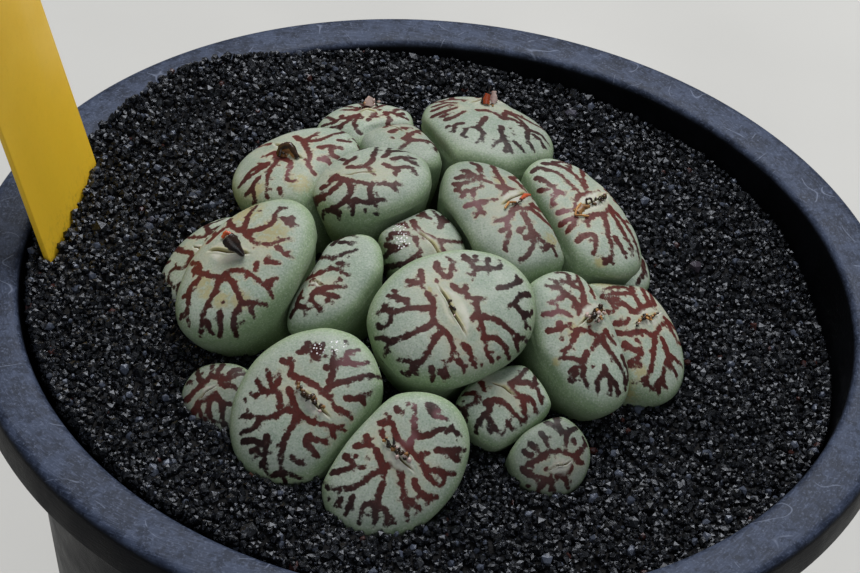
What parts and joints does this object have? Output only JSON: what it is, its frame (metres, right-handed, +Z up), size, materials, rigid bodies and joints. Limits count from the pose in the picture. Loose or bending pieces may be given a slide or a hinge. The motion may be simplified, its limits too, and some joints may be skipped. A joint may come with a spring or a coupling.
{
  "type": "potted conophytum",
  "caption": "Clump of pressed, oval stone-like succulent heads with branching dark lines, in a round black nursery pot of black grit with a bare stake label.",
  "frame": {"origin": "centre of the pot's base, on the surface it stands on", "axes": "+Z up, +Y away from the side the picture was taken from, the label at -X"},
  "size_m": [0.1109, 0.1, 0.1524],
  "materials": {
    "pot_plastic": "black satin moulded plastic with fine scratches",
    "soil_grit": "black angular grit with a few glints",
    "head_skin": "waxy pale grey-green skin with branching dark red-brown lines on the face",
    "root_wood": "dull brown bark",
    "label_plastic": "yellow satin plastic strip",
    "dried_flower": "brown crumpled papery remains"
  },
  "bodies": {
    "root": {"pot": "pot_plastic", "soil": "soil_grit", "rootstock": "root_wood", "plant_label": "label_plastic", "head_01": "head_skin", "head_02": "head_skin", "head_03": "head_skin", "head_04": "head_skin", "head_05": "head_skin", "head_06": "head_skin", "head_07": "head_skin", "head_08": "head_skin", "head_09": "head_skin", "head_10": "head_skin", "head_11": "head_skin", "head_12": "head_skin", "head_13": "head_skin", "head_14": "head_skin", "head_15": "head_skin", "head_16": "head_skin", "head_17": "head_skin", "head_18": "head_skin", "head_19": "head_skin", "head_20": "head_skin", "dried_flower_02": "dried_flower", "dried_flower_03": "dried_flower", "dried_flower_05": "dried_flower", "dried_flower_10": "dried_flower", "dried_flower_11": "dried_flower", "dried_flower_13": "dried_flower", "dried_flower_14": "dried_flower", "dried_flower_15": "dried_flower", "dried_flower_17": "dried_flower", "dried_flower_18": "dried_flower"}
  },
  "joints": []
}
